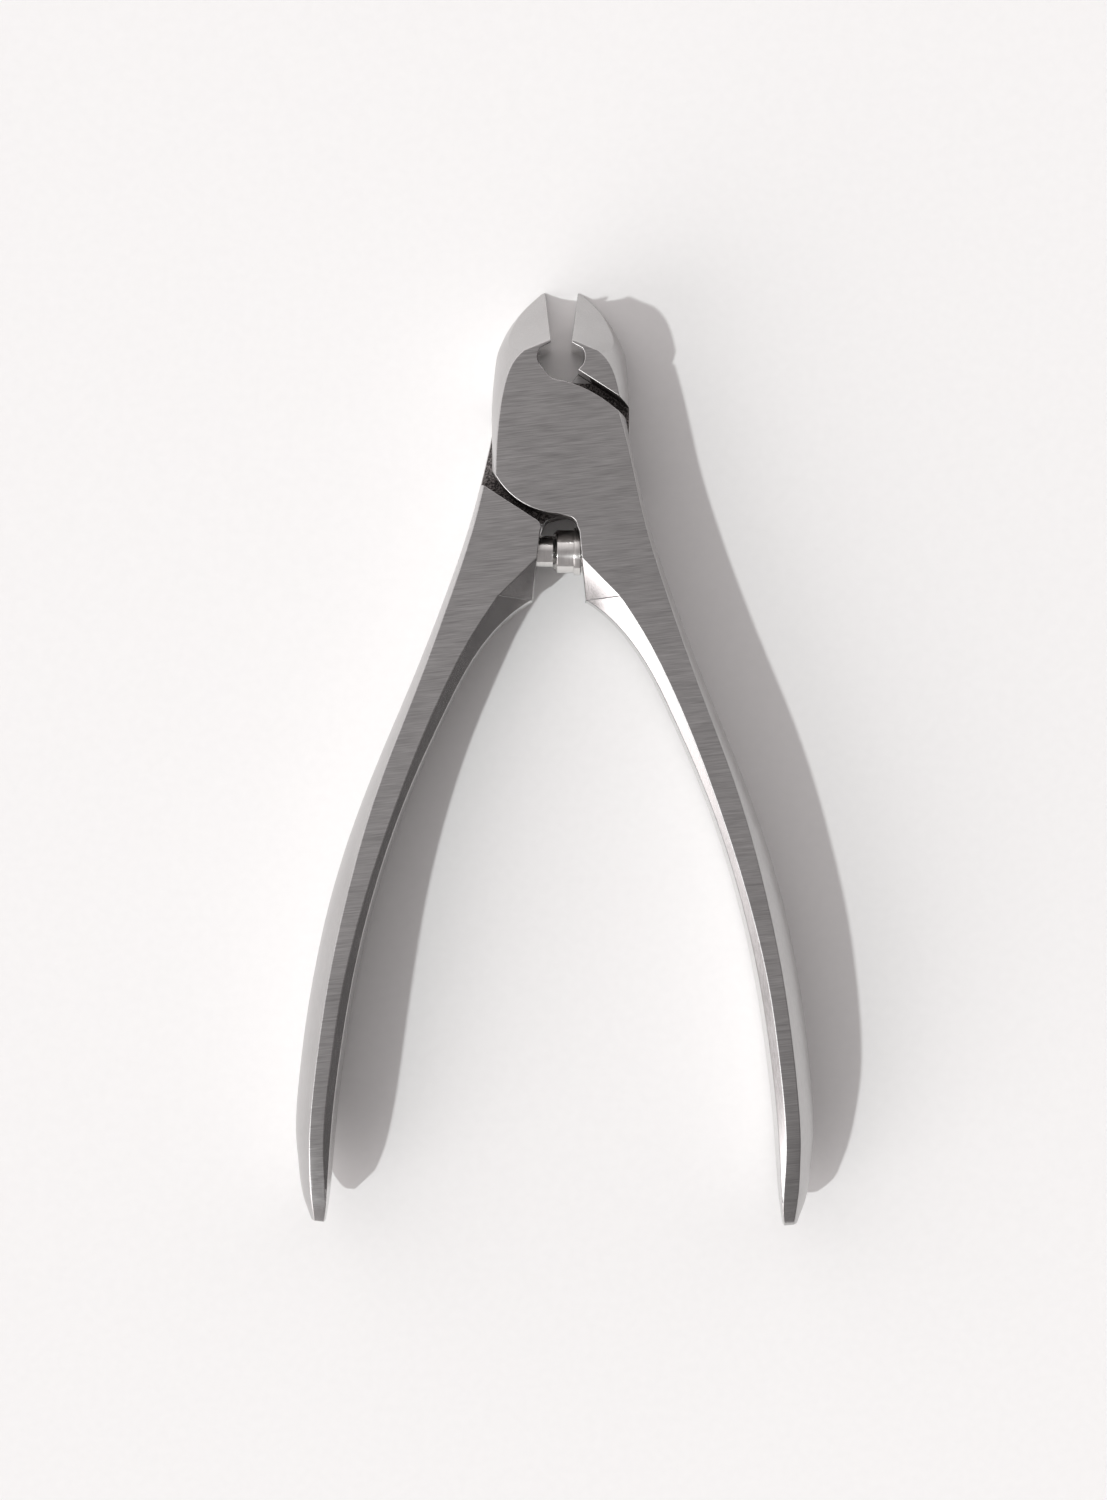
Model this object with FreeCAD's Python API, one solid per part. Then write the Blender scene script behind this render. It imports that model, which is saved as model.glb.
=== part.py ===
"""Plier-type nail nipper with a concealed rivet joint and a telescoping spring case.

Frame: millimetres, +Y along the tool towards the jaws, +X to the right seen from the front, +Z out of the
front face. The origin is on the pivot axis, on the back face of the joint. The tool is modelled at rest,
which is open: each lever stands OPEN_DEG away from the closed position. Both levers come from one forging
shape, drawn closed about the plane x = 0, and the back lever is the front one turned half a turn about the
tool's long axis through mid-depth. Only the jaws' ends differ: both are ground from the front, so that both
tips are at the back.
"""
import FreeCAD, Part
import math
import os
from FreeCAD import Vector

# ---- joint ----
OPEN_DEG = 6.0
HEAD_DEPTH = 12.2
MID = HEAD_DEPTH / 2
LAP_GAP = 0.06
BLADE_GAP = 0.03
PLATE_R = 9.5
RIVET_R = 2.6
RIVET_PLAY = 0.03
RIVET_HEAD_R = 3.6
RIVET_CONE = 1.0

# ---- spring case ----
SPRING_Y = -14.0
SWIVEL_X = 0.25
DOME_R = 4.5
SEAT_PLAY = 0.08
SOCKET_R = 3.38
SOCKET_TILT_DEG = 3.5
BARREL_R = 2.75
BARREL_MOUTH_X = -0.85
BARREL_CHAMFER = 0.55
BARREL_BORE_END_X = 3.8
COLLAR_R = 3.05
COLLAR_FROM_X = 1.85
COLLAR_TO_X = 2.7
PLUNGER_R = 2.0
PLUNGER_LENGTH = 5.45
PLUNGER_BORE_R = 1.55
PLUNGER_END_WALL = 0.65
SLIDE_PLAY = 0.06
WIRE_R = 0.2
COIL_TURNS = 9
COIL_END_PLAY = 0.05

# ---- forging: distances from the closed tool's middle plane, as (y, value), from the jaw tip down ----
# each line is one height on the outer side of a lever, and runs the whole length of the tool
FRONT_EDGE = [(20.3, 0.1), (17.1, 0.3), (14.7, 0.7), (12.4, 2.2), (10.3, 4.9), (8.2, 6.1), (5.5, 7.0),
              (2.0, 7.8), (-2.0, 8.45), (-11.0, 9.5), (-21.5, 11.6), (-32.0, 14.1), (-48.0, 18.2),
              (-61.0, 20.3), (-74.0, 21.5), (-86.0, 21.75), (-95.0, 21.2), (-99.5, 20.5), (-102.4, 19.95)]
UPPER_SIDE = [(20.3, 0.1), (17.1, 1.0), (14.7, 2.7), (12.4, 5.1), (10.3, 6.5), (8.2, 7.25), (5.5, 7.9),
              (2.0, 8.4), (-2.0, 8.85)]
WIDEST = [(20.3, 0.15), (17.1, 2.0), (14.7, 4.6), (12.4, 6.55), (10.3, 7.3), (8.2, 7.8), (5.5, 8.3),
          (2.0, 8.65), (-2.0, 9.0), (-11.0, 10.2), (-21.5, 12.5), (-32.0, 15.3), (-48.0, 19.9),
          (-61.0, 22.6), (-74.0, 23.9), (-86.0, 24.1), (-95.0, 23.05), (-99.5, 21.8), (-102.4, 20.5)]
LOWER_SIDE = [(20.3, 0.15), (17.1, 3.45), (14.7, 5.65), (12.4, 6.9), (10.3, 7.4), (8.2, 7.75), (5.5, 8.1),
              (2.0, 8.45), (-2.0, 8.85)]
BACK_EDGE = [(20.3, 0.15), (17.1, 3.7), (14.7, 5.5), (12.4, 6.2), (10.3, 6.4), (8.2, 6.7), (5.5, 7.1),
             (2.0, 7.8), (-2.0, 8.45)]
# inner side of the handle: edge of the front face, middle ridge, and the line where the chamfer ends
FACE_INNER = [(-20.7, 5.6), (-26.3, 8.4), (-34.4, 11.5), (-47.5, 15.2), (-60.5, 17.95), (-73.3, 19.6),
              (-86.0, 20.0), (-95.0, 19.4), (-99.5, 19.0), (-103.2, 18.85)]
RIDGE = [(-20.7, 1.3), (-23.2, 4.0), (-28.7, 7.6), (-34.1, 9.75), (-47.5, 14.1), (-60.6, 16.9),
         (-73.7, 18.4), (-86.0, 18.8), (-95.0, 18.65), (-99.5, 18.7), (-103.2, 18.75)]
RIDGE_ROUND = [(-20.7, 0.06), (-34.0, 0.15), (-48.0, 0.18), (-86.0, 0.18), (-103.2, 0.05)]
CHAMFER_DEPTH = [(-20.7, 3.4), (-23.5, 2.25), (-28.0, 1.4), (-34.4, 1.15), (-47.5, 0.72), (-61.0, 0.68),
                 (-73.0, 0.8), (-86.0, 0.8), (-95.0, 0.45), (-103.2, 0.1)]
# side view: half the depth, which swells towards the palm and closes at the rounded tip
HALF_DEPTH = [(20.3, 6.1), (-21.5, 6.1), (-35.0, 6.4), (-48.0, 6.8), (-61.0, 7.2), (-75.0, 7.5),
              (-86.0, 7.2), (-93.0, 6.3), (-98.0, 4.8), (-101.2, 3.2), (-102.4, 2.2)]
NOSE_STATIONS = [20.3, 18.8, 17.1, 15.9, 14.7, 13.5, 12.4, 10.3, 8.2, 5.5, 2.0, -2.0]
HANDLE_STATIONS = [-7.0, -13.0, -21.5, -30.0, -39.0, -48.0, -57.0, -66.0, -75.0, -83.0, -89.0, -94.0,
                   -97.5, -100.2, -103.0]
INNER_STATIONS = [-20.7, -23.2, -26.5, -31.0, -38.0, -48.0, -58.0, -68.0, -78.0, -87.0, -95.0, -103.2]
# the joint's two faces are flat down to here, and the sections stand this far proud before they are trimmed
FLAT_END_Y = -21.5
HANDLE_END_Y = -102.4
PROUD = 0.15
SCOOP_TOP_Y = -15.4
SEAT_X = 1.25
SEAT_TOP_Y = -12.0

# far enough out to clear the whole tool, for cutting bodies
REACH = 30.0
BOTTOM_Y = -110.0

# ---- plan outlines of one closed lever: jaw to the left, handle to the right ----
HOLLOW_TOP = (0.0, 12.3)
HOLLOW_SHOULDER = (-1.45, 11.72)
HOLLOW_SIDE = (-1.9, 10.75)
HOLLOW_FOOT = (-1.2, 8.95)
PLATE_TOP = [(-0.55, 7.95), (0.9, 7.35), (4.7, 5.4), (7.45, 3.0)]
PLATE_CORNER_OUT = (9.6, 1.4)
PLATE_ARC_FROM_DEG = 195.0
PLATE_ARC_TO_DEG = 262.5
SEAT_CORNER = [(0.1, -9.95), (0.75, -10.4), (1.0, -11.2)]
JAW_SHOULDER = [(-6.65, 6.25), (-7.9, 5.5), (-12.0, 3.0)]
HANDLE_SHOULDER = [(12.0, -5.53), (1.95, -10.53)]
SHOULDER_CORNER = (1.4, -10.95)

# ---- jaws ----
TIP_Y = 20.0
TIP_Z = 0.15
EDGE_MID = (16.1, 5.2)
HORN_Y = 12.63
FACET_RAKE_DEG = 16.0


def slope(line, i):
    """Slope of a feature line at its point i, for a curve that never overshoots its points."""
    if i in (0, len(line) - 1):
        j = 1 if i == 0 else len(line) - 1
        return (line[j][1] - line[j - 1][1]) / (line[j][0] - line[j - 1][0])
    before = (line[i][1] - line[i - 1][1]) / (line[i][0] - line[i - 1][0])
    after = (line[i + 1][1] - line[i][1]) / (line[i + 1][0] - line[i][0])
    if before * after <= 0:
        return 0.0
    return 2 * before * after / (before + after)


def at(line, y):
    """Value of a feature line at y, on the smooth curve through its points."""
    for i in range(len(line) - 1):
        (y0, v0), (y1, v1) = line[i], line[i + 1]
        if y >= y1 or i == len(line) - 2:
            break
    span = y1 - y0
    t = (y - y0) / span
    m0 = slope(line, i) * span
    m1 = slope(line, i + 1) * span
    return ((2 * t ** 3 - 3 * t ** 2 + 1) * v0 + (t ** 3 - 2 * t ** 2 + t) * m0
            + (3 * t ** 2 - 2 * t ** 3) * v1 + (t ** 3 - t ** 2) * m1)


def line_edges(points):
    """Straight edges through the points in order."""
    return [Part.makeLine(a, b) for a, b in zip(points, points[1:])]


def spline_edge(points):
    """One smooth edge through the points, which are evenly spaced along its parameter."""
    curve = Part.BSplineCurve()
    curve.interpolate(Points=points, Parameters=[i / (len(points) - 1) for i in range(len(points))])
    return curve.toShape()


def through_points(points):
    """One smooth edge through unevenly spaced points."""
    curve = Part.BSplineCurve()
    curve.interpolate(points)
    return curve.toShape()


def arc_edge(a, b, c):
    """Arc from a through b to c."""
    return Part.Arc(a, b, c).toShape()


def prism(edges, z_low, z_high):
    """Plan outline, drawn at z = 0, as a solid between two heights."""
    face = Part.Face(Part.Wire(edges))
    face.translate(Vector(0, 0, z_low))
    return face.extrude(Vector(0, 0, z_high - z_low))


def outer_points(y, tip_at_back):
    """The five points of the outer side at y, from front edge to back edge, a little proud of both."""
    half = at(HALF_DEPTH, y) + PROUD
    front = at(FRONT_EDGE, y)
    widest = at(WIDEST, y)
    if y >= -2.0:
        xs = [front, at(UPPER_SIDE, y), widest, at(LOWER_SIDE, y), at(BACK_EDGE, y)]
        if not tip_at_back:
            xs.reverse()
    else:
        quarter = widest - (widest - front) / 4
        xs = [front, quarter, widest, quarter, front]
    heights = [MID + half * k for k in (1, 0.5, 0, -0.5, -1)]
    return [Vector(x, y, z) for x, z in zip(xs, heights)]


def outer_section(y, tip_at_back):
    """Closed section of the closed tool's envelope, the same on both sides of the middle plane."""
    right = outer_points(y, tip_at_back)
    left = [Vector(-p.x, p.y, p.z) for p in reversed(right)]
    edges = [spline_edge(right)]
    edges += line_edges([right[-1], left[0]])
    edges.append(spline_edge(left))
    edges += line_edges([left[-1], right[0]])
    return Part.Wire(edges)


def envelope(tip_at_back):
    """Outer body of the closed tool, from the jaw tips to the handles' ends."""
    stations = NOSE_STATIONS + HANDLE_STATIONS
    return Part.makeLoft([outer_section(y, tip_at_back) for y in stations], True, False)


def side_profile():
    """The tool in side view: flat across the joint, swelling to the palm and closing at the handle's end."""
    stations = [y for y in HANDLE_STATIONS if HANDLE_END_Y < y <= FLAT_END_Y] + [HANDLE_END_Y]
    front = [Vector(-REACH, y, MID + at(HALF_DEPTH, y)) for y in stations]
    back = [Vector(-REACH, y, MID - at(HALF_DEPTH, y)) for y in reversed(stations)]
    edges = [through_points(front)]
    edges += line_edges([front[-1], back[0]])
    edges.append(through_points(back))
    edges += line_edges([back[-1], Vector(-REACH, REACH, 0), Vector(-REACH, REACH, HEAD_DEPTH), front[0]])
    face = Part.Face(Part.Wire(edges))
    return face.extrude(Vector(2 * REACH, 0, 0))


def inner_section(y):
    """Section of the space inside the handles: a rounded ridge with a chamfer to each face."""
    half = at(HALF_DEPTH, max(y, HALF_DEPTH[-1][0]))
    ridge = at(RIDGE, y)
    turn_x = ridge + at(RIDGE_ROUND, y)
    turn_z = max(half - at(CHAMFER_DEPTH, y), 0.15)
    face_x = max(at(FACE_INNER, y), turn_x + 0.1)
    reach_x = turn_x + (face_x - turn_x) * 3
    reach_z = turn_z + (half - turn_z) * 3
    top, bottom = MID + turn_z, MID - turn_z
    edges = [arc_edge(Vector(turn_x, y, bottom), Vector(ridge, y, MID), Vector(turn_x, y, top))]
    edges += line_edges([Vector(turn_x, y, top), Vector(reach_x, y, MID + reach_z),
                         Vector(-REACH, y, MID + reach_z), Vector(-REACH, y, MID - reach_z),
                         Vector(reach_x, y, MID - reach_z), Vector(turn_x, y, bottom)])
    return Part.Wire(edges)


def inner_space():
    """Everything between the handles below the ridge corner, which the envelope is cut by."""
    return Part.makeLoft([inner_section(y) for y in INNER_STATIONS], True, False)


def scoop(side):
    """Facet from the front (side +1) or back (side -1) face down to the ridge corner beside the spring."""
    ridge_y, start_z = INNER_STATIONS[0], at(HALF_DEPTH, SCOOP_TOP_Y)
    half = at(HALF_DEPTH, ridge_y)
    low = half - at(CHAMFER_DEPTH, ridge_y)
    a = Vector(SEAT_X, SCOOP_TOP_Y, MID + side * start_z)
    b = Vector(at(FACE_INNER, ridge_y), ridge_y - LAP_GAP, MID + side * half)
    c = Vector(SEAT_X, ridge_y - LAP_GAP, MID + side * low)
    face = Part.Face(Part.Wire(line_edges([a, b, c, a])))
    return face.extrude(Vector(-REACH, 0, side * REACH))


def flat(point):
    """Plan point at z = 0."""
    return Vector(point[0], point[1], 0)


def on_plate(angle_deg):
    """Point of the round edge of the joint plate."""
    angle = math.radians(angle_deg)
    return Vector(PLATE_R * math.cos(angle), PLATE_R * math.sin(angle), 0)


def jaw_inner_edges():
    """The blade's inner face and its side of the round hollow, from the top down."""
    blade_x = -BLADE_GAP / 2
    edges = line_edges([Vector(blade_x, REACH, 0), Vector(blade_x, HOLLOW_TOP[1], 0), flat(HOLLOW_SHOULDER)])
    edges.append(arc_edge(flat(HOLLOW_SHOULDER), flat(HOLLOW_SIDE), flat(HOLLOW_FOOT)))
    return edges


def front_layer():
    """Jaw, joint plate and handle of the front half of the depth."""
    edges = jaw_inner_edges()
    foot, bend, rise, crown, corner = [flat(p) for p in [HOLLOW_FOOT] + PLATE_TOP]
    edges.append(arc_edge(foot, bend, rise))
    edges.append(arc_edge(rise, crown, corner))
    seat_in, seat_bend, seat_out = [flat(p) for p in SEAT_CORNER]
    edges += line_edges([corner, flat(PLATE_CORNER_OUT), Vector(REACH, PLATE_CORNER_OUT[1], 0),
                         Vector(REACH, BOTTOM_Y, 0), Vector(SEAT_X, BOTTOM_Y, 0),
                         Vector(SEAT_X, SEAT_TOP_Y, 0), seat_out])
    edges.append(arc_edge(seat_out, seat_bend, seat_in))
    edges += line_edges([seat_in, on_plate(PLATE_ARC_TO_DEG)])
    middle = (PLATE_ARC_FROM_DEG + PLATE_ARC_TO_DEG) / 2
    edges.append(arc_edge(on_plate(PLATE_ARC_TO_DEG), on_plate(middle), on_plate(PLATE_ARC_FROM_DEG)))
    start = on_plate(PLATE_ARC_FROM_DEG)
    edges += line_edges([start, Vector(-REACH, start.y, 0), Vector(-REACH, REACH, 0),
                         Vector(-BLADE_GAP / 2, REACH, 0)])
    return prism(edges, MID + LAP_GAP / 2, MID + REACH)


def back_jaw_layer():
    """The jaw's back half of the depth, down to the shoulder that clears the other lever's plate."""
    edges = jaw_inner_edges()
    edges += line_edges([flat(HOLLOW_FOOT)] + [flat(p) for p in JAW_SHOULDER]
                        + [Vector(-REACH, JAW_SHOULDER[-1][1], 0), Vector(-REACH, REACH, 0),
                           Vector(-BLADE_GAP / 2, REACH, 0)])
    return prism(edges, MID - REACH, MID + LAP_GAP / 2)


def back_handle_layer():
    """The handle's back half of the depth, up to the shoulder that clears the other lever's plate."""
    outer, inner = [flat(p) for p in HANDLE_SHOULDER]
    seat = Vector(SEAT_X, SEAT_TOP_Y, 0)
    edges = line_edges([Vector(REACH, outer.y, 0), outer, inner])
    edges.append(arc_edge(inner, flat(SHOULDER_CORNER), seat))
    edges += line_edges([seat, Vector(SEAT_X, BOTTOM_Y, 0), Vector(REACH, BOTTOM_Y, 0),
                         Vector(REACH, outer.y, 0)])
    return prism(edges, MID - REACH, MID + LAP_GAP / 2)


def facet_waste(tip_at_back):
    """What grinding takes off the jaw's end, beyond a hollow facet that rakes back from the cutting edge."""
    tip, middle, horn = Vector(0, TIP_Y, TIP_Z), Vector(0, *EDGE_MID), Vector(0, HORN_Y, HEAD_DEPTH)
    edges = [arc_edge(tip, middle, horn)]
    edges += line_edges([horn, Vector(0, HORN_Y - 0.9, HEAD_DEPTH + 2), Vector(0, HORN_Y - 0.9, REACH),
                         Vector(0, REACH, REACH), Vector(0, REACH, -REACH),
                         Vector(0, TIP_Y + 0.6, -0.6), tip])
    face = Part.Face(Part.Wire(edges))
    rake = math.tan(math.radians(FACET_RAKE_DEG))
    face.translate(Vector(1, rake, 0))
    waste = face.extrude(Vector(-15, -15 * rake, 0))
    return waste if tip_at_back else waste.mirror(Vector(0, 0, MID), Vector(0, 0, 1))


def swivel_when_closed():
    """Centre of the barrel's swivel, in the closed position of the front lever."""
    turn = math.radians(-OPEN_DEG)
    x = SWIVEL_X * math.cos(turn) - SPRING_Y * math.sin(turn)
    y = SWIVEL_X * math.sin(turn) + SPRING_Y * math.cos(turn)
    return Vector(x, y, MID)


def spring_socket():
    """Round socket with a domed floor in the handle's inner face, in the closed position."""
    floor_r = DOME_R + SEAT_PLAY
    bore = Part.makeCylinder(SOCKET_R, floor_r + DOME_R, Vector(-DOME_R, 0, 0), Vector(1, 0, 0))
    deep = bore.common(Part.makeSphere(floor_r))
    mouth = Part.makeCylinder(SOCKET_R, DOME_R + 1, Vector(-DOME_R, 0, 0), Vector(1, 0, 0))
    socket = mouth.fuse(deep)
    socket.rotate(Vector(0, 0, 0), Vector(0, 0, 1), -SOCKET_TILT_DEG)
    socket.translate(swivel_when_closed())
    return socket


def forging(tip_at_back):
    """One lever in the closed position, without its rivet hole."""
    plan = front_layer().fuse([back_jaw_layer(), back_handle_layer()])
    lever = envelope(tip_at_back).common(plan.common(side_profile()))
    return lever.cut([inner_space(), scoop(1), scoop(-1), facet_waste(tip_at_back), spring_socket()])


def rivet_body(play):
    """Rivet with a countersunk head flush in each face, grown by play on the radius."""
    shank = Part.makeCylinder(RIVET_R + play, HEAD_DEPTH)
    front = Part.makeCone(RIVET_R + play, RIVET_HEAD_R + play, RIVET_CONE,
                          Vector(0, 0, HEAD_DEPTH - RIVET_CONE))
    back = Part.makeCone(RIVET_HEAD_R + play, RIVET_R + play, RIVET_CONE)
    return shank.fuse([front, back]).removeSplitter()


def turned(profile_edges):
    """Solid of revolution about the spring case's axis."""
    face = Part.Face(Part.Wire(profile_edges))
    return face.revolve(Vector(0, SPRING_Y, MID), Vector(1, 0, 0), 360)


def at_radius(x, r):
    """Point of a turned profile."""
    return Vector(x, SPRING_Y, MID + r)


def dome_x(r):
    """How far the dome's surface stands from the swivel centre, along the axis, at radius r."""
    return math.sqrt(DOME_R ** 2 - r ** 2)


def spring_barrel():
    """Outer sleeve: domed end with a collar in the front lever's socket, open end with a chamfer."""
    bore_r = PLUNGER_R + SLIDE_PLAY
    start = at_radius(SWIVEL_X + dome_x(BARREL_R), BARREL_R)
    half_way = at_radius(SWIVEL_X + dome_x(BARREL_R / 2), BARREL_R / 2)
    apex = at_radius(SWIVEL_X + DOME_R, 0)
    edges = line_edges([apex, at_radius(BARREL_BORE_END_X, 0), at_radius(BARREL_BORE_END_X, bore_r),
                        at_radius(BARREL_MOUTH_X, bore_r),
                        at_radius(BARREL_MOUTH_X, BARREL_R - BARREL_CHAMFER),
                        at_radius(BARREL_MOUTH_X + BARREL_CHAMFER, BARREL_R),
                        at_radius(COLLAR_FROM_X, BARREL_R), at_radius(COLLAR_FROM_X, COLLAR_R),
                        at_radius(COLLAR_TO_X, COLLAR_R), at_radius(COLLAR_TO_X, BARREL_R), start])
    edges.append(arc_edge(start, half_way, apex))
    return turned(edges)


def spring_plunger():
    """Inner sleeve: domed end in the back lever's socket, open end inside the barrel."""
    apex_x = -SWIVEL_X - DOME_R
    start = at_radius(-SWIVEL_X - dome_x(PLUNGER_R), PLUNGER_R)
    half_way = at_radius(-SWIVEL_X - dome_x(PLUNGER_R / 2), PLUNGER_R / 2)
    apex = at_radius(apex_x, 0)
    open_x = apex_x + PLUNGER_LENGTH
    wall_x = apex_x + PLUNGER_END_WALL
    edges = line_edges([apex, at_radius(wall_x, 0), at_radius(wall_x, PLUNGER_BORE_R),
                        at_radius(open_x, PLUNGER_BORE_R), at_radius(open_x, PLUNGER_R), start])
    edges.append(arc_edge(start, half_way, apex))
    return turned(edges)


def coil_spring():
    """Round-wire compression spring, from the plunger's end wall to the barrel's."""
    low_x = -SWIVEL_X - DOME_R + PLUNGER_END_WALL + COIL_END_PLAY + WIRE_R
    high_x = BARREL_BORE_END_X - COIL_END_PLAY - WIRE_R
    mean_r = PLUNGER_BORE_R - COIL_END_PLAY - WIRE_R
    height = high_x - low_x
    helix = Part.makeHelix(height / COIL_TURNS, height, mean_r)
    ring = Part.Wire(Part.makeCircle(WIRE_R, Vector(mean_r, 0, 0), Vector(0, 1, 0)))
    coil = Part.Wire(helix).makePipeShell([ring], True, True)
    coil.rotate(Vector(0, 0, 0), Vector(0, 1, 0), 90)
    coil.translate(Vector(low_x, SPRING_Y, MID))
    return coil


def build():
    """All pieces at rest, by node name."""
    front = forging(tip_at_back=True)
    front.rotate(Vector(0, 0, 0), Vector(0, 0, 1), OPEN_DEG)
    back = forging(tip_at_back=False)
    back.rotate(Vector(0, 0, MID), Vector(0, 1, 0), 180)
    back.rotate(Vector(0, 0, 0), Vector(0, 0, 1), -OPEN_DEG)
    rivet = rivet_body(0)
    return {
        "lever_front": front.cut(rivet),
        "lever_back": back.cut(rivet_body(RIVET_PLAY)),
        "pivot_rivet": rivet,
        "spring_barrel": spring_barrel(),
        "spring_plunger": spring_plunger(),
        "coil_spring": coil_spring(),
    }


os.makedirs("parts", exist_ok=True)
for name, shape in build().items():
    if len(shape.Solids) != 1 or not shape.isValid() or shape.Volume <= 0:
        raise ValueError(f"{name} is not one valid solid: {len(shape.Solids)}, {shape.Volume:.1f} mm3")
    print(f"{name}: one valid solid, {shape.Volume:.1f} mm3")
    shape.exportStep(f"parts/{name}.step")
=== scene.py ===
import math
import bmesh
import bpy
from mathutils import Matrix, Vector


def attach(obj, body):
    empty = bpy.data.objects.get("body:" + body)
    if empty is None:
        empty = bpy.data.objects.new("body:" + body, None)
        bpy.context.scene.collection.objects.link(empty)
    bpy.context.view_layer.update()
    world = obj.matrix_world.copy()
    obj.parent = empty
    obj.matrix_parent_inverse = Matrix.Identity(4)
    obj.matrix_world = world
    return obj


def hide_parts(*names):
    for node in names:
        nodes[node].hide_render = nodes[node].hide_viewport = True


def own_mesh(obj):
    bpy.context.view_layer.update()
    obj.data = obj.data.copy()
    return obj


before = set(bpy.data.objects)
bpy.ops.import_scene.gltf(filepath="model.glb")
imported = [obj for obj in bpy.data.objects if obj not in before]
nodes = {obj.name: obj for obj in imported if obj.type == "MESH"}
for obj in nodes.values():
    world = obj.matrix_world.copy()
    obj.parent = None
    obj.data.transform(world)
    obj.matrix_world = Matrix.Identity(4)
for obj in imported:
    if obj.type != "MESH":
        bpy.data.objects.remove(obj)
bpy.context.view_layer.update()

MM = 0.001

# the plane that the tool rests on: its jaw tips and the two handles' palm swells touch it
FLOOR_SLOPE = 0.015412
FLOOR_AT_ORIGIN = -0.30824 * MM
FLOOR_NORMAL = Vector((0, -FLOOR_SLOPE, 1)).normalized()
FLOOR_HALF_SIZE = 1.6

# camera straight above that floor
CAMERA_AIM = Vector((-0.57, -39.36)) * MM
CAMERA_UP = Vector((-0.00803, 0.99997, 0))
CAMERA_HEIGHT = 560 * MM
CAMERA_SENSOR = 36
CAMERA_LENS = 103.56

# the sun-like key: where it travels to in plan, how high it stands, how bright, tinted and wide it is
KEY_TRAVEL = (0.722, 0.692)
KEY_ELEVATION_DEG = 50
KEY_ENERGY = 1.43
KEY_COLOUR = (0.97, 1.0, 1.0)
KEY_WIDTH_DEG = 1.6

# the studio round it: brightness on the key's side, behind the jaws and in the low window
SIDE_LEVELS = (0.16, 0.78)
BEHIND_LEVEL = 0.8
WINDOW_LEVEL = 2.9
WINDOW_ELEVATION_DEG = 18
STUDIO_TINT = (1.0, 0.95, 0.95)

# the lap, where the two levers' half-thickness plates meet and where shade is painted, and how far it runs
# along the tool
LAP_HEIGHT = 6.1 * MM
LAP_FACE_REACH = 3 * MM
LAP_WALL_REACH = 5.7 * MM
LAP_START_Y = -13 * MM
LAP_END_Y = 7.6 * MM

# shares of a normal: a face this level is the lap's own, and a wall this little tilted is upright
LEVEL_FACE = 0.95
UPRIGHT_WALL = 0.08

# easing: its width, the smallest turn that is rounded, and the ring round the flush rivet that isn't
LEVER_EASING = 0.12 * MM
SLEEVE_EASING = 0.06 * MM
EASING_SEGMENTS = 3
SHARP_DEG = 24
RIVET_CLEAR = 4.2 * MM

# mesh cleaning before the easing: points this close are one, faces this nearly flat are one
SAME_POINT = 1.5e-6
SAME_EDGE = 1e-6
SAME_FACE_DEG = 0.4

# the ground lines run across the tool and rise a little to the right
LINE_TURN_DEG = 6.5
ACROSS_LINES = (-math.sin(math.radians(LINE_TURN_DEG)), math.cos(math.radians(LINE_TURN_DEG)), 0.0)

WARM_STEEL = (1.0, 0.985, 0.98)
SLEEVE_STEEL = (1.0, 0.985, 0.96)
# painted shade: the tint of the dark colour that stands for the shade down in the lap
LAP_SHADE_TINT = (1.0, 0.92, 0.9)
CARD_WHITE = (1.0, 0.996, 0.99)


# ---------------------------------------------------------------- node helpers
def new_material(name):
    """An empty material, its node tree, and the socket that its surface shader goes to."""
    material = bpy.data.materials.new(name)
    material.use_nodes = True
    tree = material.node_tree
    tree.nodes.clear()
    out = tree.nodes.new("ShaderNodeOutputMaterial")
    return material, tree, out.inputs[0]


def principled(tree, metallic=1.0, anisotropy=0.0):
    shader = tree.nodes.new("ShaderNodeBsdfPrincipled")
    shader.inputs["Metallic"].default_value = metallic
    shader.inputs["Anisotropic"].default_value = anisotropy
    return shader


def own_coordinates(tree):
    """A point and a normal in the piece's own frame."""
    node = tree.nodes.new("ShaderNodeTexCoord")
    return node.outputs["Object"], node.outputs["Normal"]


def split(tree, vector):
    """The x, y and z of a vector."""
    node = tree.nodes.new("ShaderNodeSeparateXYZ")
    tree.links.new(vector, node.inputs[0])
    return node.outputs


def feed(tree, sockets, values):
    """Each value into its socket, whether it is a number or a link."""
    for socket, value in zip(sockets, values):
        if isinstance(value, (int, float)):
            socket.default_value = value
        else:
            tree.links.new(value, socket)


def math_node(tree, kind, *values):
    node = tree.nodes.new("ShaderNodeMath")
    node.operation = kind
    feed(tree, node.inputs, values)
    return node.outputs[0]


def add(tree, a, b):
    return math_node(tree, "ADD", a, b)


def times(tree, a, b):
    return math_node(tree, "MULTIPLY", a, b)


def over(tree, value, limit):
    return math_node(tree, "GREATER_THAN", value, limit)


def under(tree, value, limit):
    return math_node(tree, "LESS_THAN", value, limit)


def absolute(tree, value):
    return math_node(tree, "ABSOLUTE", value)


def ramp(tree, value, low, high, to_low=0.0, to_high=1.0):
    """value mapped from low..high to to_low..to_high, clamped."""
    node = tree.nodes.new("ShaderNodeMapRange")
    node.clamp = True
    tree.links.new(value, node.inputs["Value"])
    node.inputs["From Min"].default_value = low
    node.inputs["From Max"].default_value = high
    node.inputs["To Min"].default_value = to_low
    node.inputs["To Max"].default_value = to_high
    return node.outputs[0]


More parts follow.
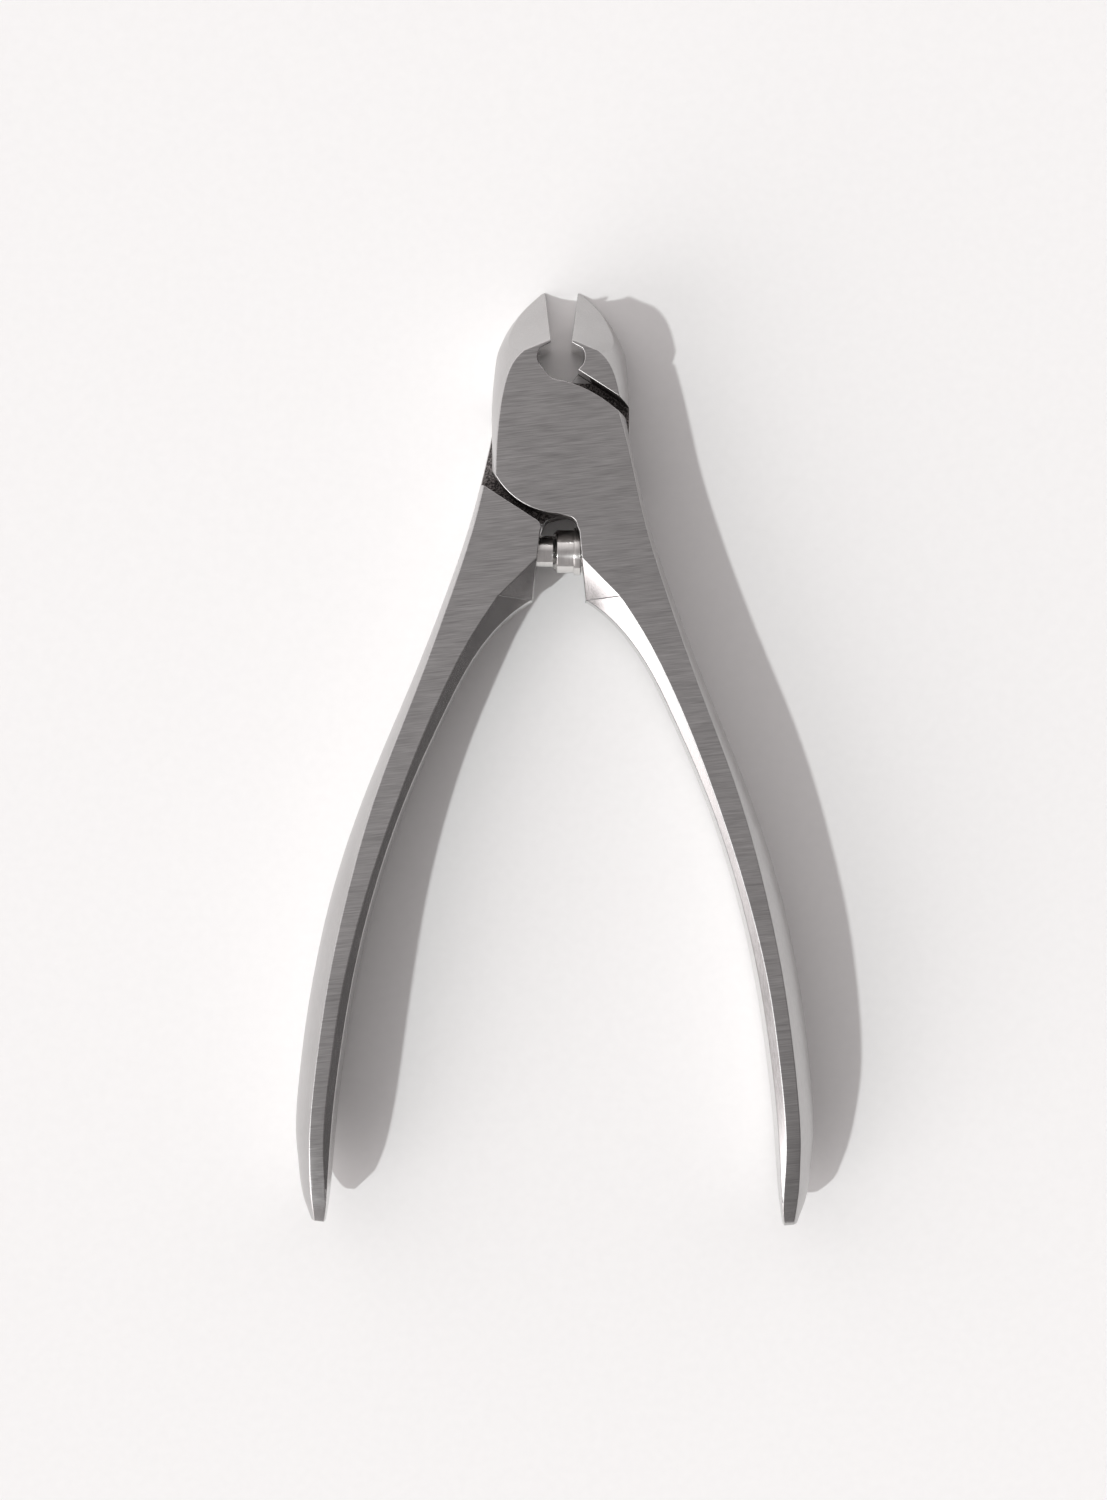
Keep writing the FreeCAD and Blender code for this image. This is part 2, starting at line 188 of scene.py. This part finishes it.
def noise(tree, coords, scale, stretch=(1, 1, 1), turn_deg=0.0, detail=2.0):
    """Noise in the piece's own coordinates, in features per metre, stretched along turned axes."""
    mapping = tree.nodes.new("ShaderNodeMapping")
    mapping.vector_type = "TEXTURE"
    mapping.inputs["Rotation"].default_value = (0, 0, math.radians(turn_deg))
    mapping.inputs["Scale"].default_value = [1 / s for s in stretch]
    tree.links.new(coords, mapping.inputs["Vector"])
    node = tree.nodes.new("ShaderNodeTexNoise")
    node.inputs["Scale"].default_value = scale
    node.inputs["Detail"].default_value = detail
    tree.links.new(mapping.outputs[0], node.inputs["Vector"])
    return node.outputs["Fac"]


def mix(tree, factor, a, b):
    """Between two numbers by a factor; any of the three may be a link."""
    node = tree.nodes.new("ShaderNodeMix")
    feed(tree, (node.inputs[0], node.inputs[2], node.inputs[3]), (factor, a, b))
    return node.outputs[0]


def tint(tree, value, colour=WARM_STEEL):
    """A grey level times a colour."""
    node = tree.nodes.new("ShaderNodeCombineColor")
    for socket, share in zip(node.inputs, colour):
        tree.links.new(times(tree, value, share), socket)
    return node.outputs[0]


def add_bump(tree, shader, height, distance, strength):
    node = tree.nodes.new("ShaderNodeBump")
    node.inputs["Strength"].default_value = strength
    node.inputs["Distance"].default_value = distance
    tree.links.new(height, node.inputs["Height"])
    tree.links.new(node.outputs[0], shader.inputs["Normal"])


def grain(tree, shader, direction):
    """Direction in which the reflection is spread, in the piece's own frame: across its fine scratches."""
    along = tree.nodes.new("ShaderNodeVectorTransform")
    along.vector_type = "VECTOR"
    along.convert_from = "OBJECT"
    along.convert_to = "WORLD"
    along.inputs[0].default_value = direction
    tree.links.new(along.outputs[0], shader.inputs["Tangent"])


def blend_shaders(tree, factor, first, second):
    """The first shader where the factor is 0, the second where it is 1."""
    node = tree.nodes.new("ShaderNodeMixShader")
    tree.links.new(factor, node.inputs[0])
    tree.links.new(first.outputs[0], node.inputs[1])
    tree.links.new(second.outputs[0], node.inputs[2])
    return node


# ---------------------------------------------------------------- materials
def ground_faces(tree, point):
    """Fine lines across the tool."""
    fine = noise(tree, point, 11000, (0.03, 1, 1), LINE_TURN_DEG, 3.0)
    broad = noise(tree, point, 6000, (0.04, 1, 1), LINE_TURN_DEG, 2.0)
    cloud = noise(tree, point, 220, (0.6, 1, 1), LINE_TURN_DEG, 3.0)
    lines = mix(tree, 0.5, fine, broad)
    shader = principled(tree, anisotropy=0.75)
    level = add(tree, ramp(tree, lines, 0.36, 0.64, 0.315, 0.465), ramp(tree, cloud, 0.3, 0.7, -0.02, 0.02))
    tree.links.new(tint(tree, level), shader.inputs["Base Color"])
    tree.links.new(ramp(tree, lines, 0.3, 0.7, 0.34, 0.46), shader.inputs["Roughness"])
    grain(tree, shader, ACROSS_LINES)
    add_bump(tree, shader, lines, 0.000006, 0.3)
    return shader


def polished_sides(tree, point, place, normal):
    """Sides, chamfers and facets: polished, with faint scratches and a little haze, and painted light on the
    inward walls of the hollow.
    """
    scratch = noise(tree, point, 7000, (1, 0.12, 1), 0.0, 2.0)
    haze = noise(tree, point, 350, (1, 0.5, 1), 0.0, 3.0)
    shader = principled(tree)
    outward = times(tree, math_node(tree, "SIGN", place[0]), normal[0])

    # the upright walls that face inwards above the joint: smoother, and painted light, their steel colour
    # raised so that the shaded hollow reads lighter
    hollow = times(tree, over(tree, place[1], LAP_END_Y), under(tree, absolute(tree, normal[2]), UPRIGHT_WALL))
    hollow = times(tree, hollow, under(tree, outward, -0.05))

    level = add(tree, ramp(tree, scratch, 0.3, 0.7, 0.50, 0.56), ramp(tree, haze, 0.3, 0.7, -0.02, 0.02))
    # painted light: the hollow's walls are made lighter than the rest of the steel
    level = add(tree, level, times(tree, hollow, 0.33))
    tree.links.new(tint(tree, level), shader.inputs["Base Color"])

    # the outer sides are a little more satin
    satin = ramp(tree, outward, 0.05, 0.35, 0.0, 0.14)
    rough = add(tree, ramp(tree, haze, 0.3, 0.7, 0.14, 0.2), ramp(tree, scratch, 0.3, 0.7, 0.0, 0.05))
    smoother = math_node(tree, "SUBTRACT", 1.0, times(tree, hollow, 0.65))
    rough = times(tree, rough, smoother)
    tree.links.new(add(tree, rough, satin), shader.inputs["Roughness"])
    add_bump(tree, shader, scratch, 0.000004, 0.2)
    return shader


def unpolished_and_shaded_inside(tree, point):
    """Inside the lap: painted shade, a dark steel colour standing for the shade in the recess, over a real
    coarse grain.
    """
    grit = noise(tree, point, 5200, detail=3.0)
    shader = principled(tree)
    # painted shade: the lap's steel is darkened to stand for the shade in the recess; the grit spread is real
    # grain
    level = ramp(tree, grit, 0.42, 0.66, 0.05, 0.3)
    tree.links.new(tint(tree, level, LAP_SHADE_TINT), shader.inputs["Base Color"])
    tree.links.new(ramp(tree, grit, 0.3, 0.7, 0.5, 0.65), shader.inputs["Roughness"])
    add_bump(tree, shader, grit, 0.00003, 0.5)
    return shader


def lap_shade_mask(tree, place, normal):
    """1 where shade is painted: on the lap's own face and on the upright walls round it, below the jaws'
    hollow.
    """
    from_middle = absolute(tree, math_node(tree, "SUBTRACT", place[2], LAP_HEIGHT))
    upright = absolute(tree, normal[2])
    lap = times(tree, under(tree, from_middle, LAP_FACE_REACH), over(tree, upright, LEVEL_FACE))
    wall = times(tree, under(tree, from_middle, LAP_WALL_REACH), under(tree, upright, UPRIGHT_WALL))
    # the shoulders face up or down the tool, and the head's outer sides face left or right
    wall = times(tree, wall, over(tree, absolute(tree, normal[1]), 0.6))
    near = times(tree, under(tree, place[1], LAP_END_Y), over(tree, place[1], LAP_START_Y))
    return times(tree, math_node(tree, "MAXIMUM", lap, wall), near)


def lever_material(name):
    """Stainless steel: ground faces at the front and back, polished sides, and painted shade in the lap."""
    material, tree, surface = new_material(name)
    point, facing = own_coordinates(tree)
    normal = split(tree, facing)
    place = split(tree, point)
    on_face = ramp(tree, absolute(tree, normal[2]), 0.84, 0.9)
    ground = ground_faces(tree, point)
    outside = blend_shaders(tree, on_face, polished_sides(tree, point, place, normal), ground)
    inside = unpolished_and_shaded_inside(tree, point)
    # painted shade: the lap and its walls take the dark shaded-recess colour
    both = blend_shaders(tree, lap_shade_mask(tree, place, normal), outside, inside)
    tree.links.new(both.outputs[0], surface)
    return material


def sleeve_material():
    """Turned and polished sleeves: bright along the axis because the turning marks run round it."""
    material, tree, surface = new_material("sleeve_polished_steel")
    point, _ = own_coordinates(tree)
    shader = principled(tree, anisotropy=0.7)
    rings = noise(tree, point, 9000, (1, 0.01, 0.01))
    cloud = noise(tree, point, 900, detail=3.0)
    level = add(tree, ramp(tree, rings, 0.3, 0.7, 0.74, 0.82), ramp(tree, cloud, 0.35, 0.7, -0.05, 0.03))
    tree.links.new(tint(tree, level, SLEEVE_STEEL), shader.inputs["Base Color"])
    tree.links.new(ramp(tree, cloud, 0.3, 0.7, 0.16, 0.24), shader.inputs["Roughness"])
    grain(tree, shader, (1.0, 0.0, 0.0))
    add_bump(tree, shader, rings, 0.000004, 0.15)
    tree.links.new(shader.outputs[0], surface)
    return material


def spring_material():
    """Bright drawn wire."""
    material, tree, surface = new_material("spring_wire_steel")
    point, _ = own_coordinates(tree)
    shader = principled(tree)
    drawn = noise(tree, point, 4000)
    tree.links.new(tint(tree, ramp(tree, drawn, 0.3, 0.7, 0.5, 0.66)), shader.inputs["Base Color"])
    tree.links.new(ramp(tree, drawn, 0.3, 0.7, 0.2, 0.3), shader.inputs["Roughness"])
    tree.links.new(shader.outputs[0], surface)
    return material


def floor_material():
    """Matt white card."""
    material, tree, surface = new_material("floor_card")
    point, _ = own_coordinates(tree)
    shader = principled(tree, metallic=0.0)
    fibre = noise(tree, point, 900, detail=4.0)
    level = ramp(tree, fibre, 0.3, 0.7, 0.876, 0.892)
    tree.links.new(tint(tree, level, CARD_WHITE), shader.inputs["Base Color"])
    shader.inputs["Roughness"].default_value = 0.95
    shader.inputs["Specular IOR Level"].default_value = 0.1
    add_bump(tree, shader, fibre, 0.00005, 0.25)
    tree.links.new(shader.outputs[0], surface)
    return material


def set_material(obj, material):
    obj.data.materials.clear()
    obj.data.materials.append(material)


# ---------------------------------------------------------------- the pieces
def add_object(name, data):
    obj = bpy.data.objects.new(name, data)
    bpy.context.collection.objects.link(obj)
    return obj


def mark_easing(work, body):
    """Weight 1 on the sharp edges that are to be rounded; those at the flush rivet stay sharp."""
    weight = work.edges.layers.float.new("bevel_weight_edge")
    for edge in work.edges:
        if len(edge.link_faces) != 2 or edge.calc_face_angle(0.0) < math.radians(SHARP_DEG):
            continue
        middle = (edge.verts[0].co + edge.verts[1].co) / 2
        at_rivet = body.endswith("lever") and math.hypot(middle.x, middle.y) < RIVET_CLEAR
        edge[weight] = 0.0 if at_rivet else 1.0
        edge.smooth = not at_rivet


def eased_copy(name, body, material, width):
    """The CAD piece with its sharp edges rounded inwards, which stands for it in the picture.

    Each lever has a step narrower than the easing, where its lap cut-out meets the chamfer. The
    rounding folds over there: about 2.7 mm2 of faces are turned back on each lever.
    """
    work = bmesh.new()
    work.from_mesh(nodes[name].data)
    bmesh.ops.remove_doubles(work, verts=work.verts, dist=SAME_POINT)
    bmesh.ops.dissolve_degenerate(work, dist=SAME_EDGE, edges=work.edges)
    bmesh.ops.dissolve_limit(work, angle_limit=math.radians(SAME_FACE_DEG), verts=work.verts, edges=work.edges)
    mark_easing(work, body)
    mesh = bpy.data.meshes.new(name + "_eased")
    work.to_mesh(mesh)
    work.free()
    obj = add_object(name + "_eased", mesh)
    for polygon in mesh.polygons:
        polygon.use_smooth = True
    bevel = obj.modifiers.new("eased_edges", "BEVEL")
    bevel.width = width
    bevel.segments = EASING_SEGMENTS
    bevel.limit_method = "WEIGHT"
    # the clamp would shrink the easing everywhere to fit the shortest edge
    bevel.use_clamp_overlap = False
    normals = obj.modifiers.new("flat_faces_flat", "WEIGHTED_NORMAL")
    normals.keep_sharp = True
    set_material(obj, material)
    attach(obj, body)
    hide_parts(name)


def shortening_coil():
    """The spring, in a mesh of its own, carried with the barrel."""
    obj = add_object("coil_spring_shortening", nodes["coil_spring"].data.copy())
    set_material(obj, spring_material())
    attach(obj, "barrel")
    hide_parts("coil_spring")
    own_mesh(obj)


lever = lever_material("lever_ground_steel")
eased_copy("lever_front", "front_lever", lever, LEVER_EASING)
eased_copy("lever_back", "back_lever", lever, LEVER_EASING)
set_material(nodes["pivot_rivet"], lever_material("rivet_ground_steel"))
sleeves = sleeve_material()
eased_copy("spring_barrel", "barrel", sleeves, SLEEVE_EASING)
eased_copy("spring_plunger", "plunger", sleeves, SLEEVE_EASING)
shortening_coil()


# ---------------------------------------------------------------- stage
def floor_point(x, y):
    return Vector((x, y, FLOOR_AT_ORIGIN + FLOOR_SLOPE * y))


def build_floor():
    mesh = bpy.data.meshes.new("floor")
    half = FLOOR_HALF_SIZE
    corners = [floor_point(x, y) for x, y in ((-half, -half), (half, -half), (half, half), (-half, half))]
    mesh.from_pydata([tuple(c) for c in corners], [], [(0, 1, 2, 3)])
    obj = add_object("floor", mesh)
    set_material(obj, floor_material())


def build_camera():
    aim = floor_point(*CAMERA_AIM)
    back = FLOOR_NORMAL
    up = (CAMERA_UP - CAMERA_UP.dot(back) * back).normalized()
    right = up.cross(back)
    camera = bpy.data.cameras.new("camera")
    camera.sensor_fit = "VERTICAL"
    camera.sensor_height = CAMERA_SENSOR
    camera.lens = CAMERA_LENS
    camera.clip_start = 0.01
    camera.clip_end = 10
    obj = add_object("camera", camera)
    turn = Matrix((right, up, back)).transposed().to_4x4()
    obj.matrix_world = Matrix.Translation(aim + back * CAMERA_HEIGHT) @ turn
    bpy.context.scene.camera = obj


def key_plan():
    """The way the key travels, seen from above."""
    return Vector((*KEY_TRAVEL, 0)).normalized()


def window_direction():
    """Towards the bright low window on the key's side."""
    elevation = math.radians(WINDOW_ELEVATION_DEG)
    return -key_plan() * math.cos(elevation) + Vector((0, 0, math.sin(elevation)))


def build_world():
    """A studio that is bright on the key's side and behind the jaws, dark opposite, with a low window."""
    world = bpy.data.worlds.new("studio")
    world.use_nodes = True
    tree = world.node_tree
    tree.nodes.clear()
    out = tree.nodes.new("ShaderNodeOutputWorld")
    sky = tree.nodes.new("ShaderNodeBackground")
    tree.links.new(sky.outputs[0], out.inputs[0])
    direction = tree.nodes.new("ShaderNodeTexCoord").outputs["Generated"]
    part = split(tree, direction)
    towards_window = tree.nodes.new("ShaderNodeVectorMath")
    towards_window.operation = "DOT_PRODUCT"
    tree.links.new(direction, towards_window.inputs[0])
    towards_window.inputs[1].default_value = window_direction()
    side = ramp(tree, part[0], 0.35, -0.8, *SIDE_LEVELS)
    behind = ramp(tree, part[1], 0.0, 0.85, 0.0, BEHIND_LEVEL)
    window = ramp(tree, towards_window.outputs["Value"], 0.88, 0.96, 0.0, WINDOW_LEVEL)
    level = add(tree, add(tree, side, behind), window)
    tree.links.new(tint(tree, level, STUDIO_TINT), sky.inputs["Color"])
    sky.inputs["Strength"].default_value = 1.0
    bpy.context.scene.world = world


def build_key():
    elevation = math.radians(KEY_ELEVATION_DEG)
    travel = key_plan() * math.cos(elevation) - Vector((0, 0, math.sin(elevation)))
    key = bpy.data.lights.new("key", "SUN")
    key.energy = KEY_ENERGY
    key.color = KEY_COLOUR
    key.angle = math.radians(KEY_WIDTH_DEG)
    obj = add_object("key", key)
    obj.rotation_euler = (-travel).to_track_quat("Z", "Y").to_euler()


build_floor()
build_camera()
build_key()
build_world()
bpy.context.scene.view_settings.view_transform = "Standard"
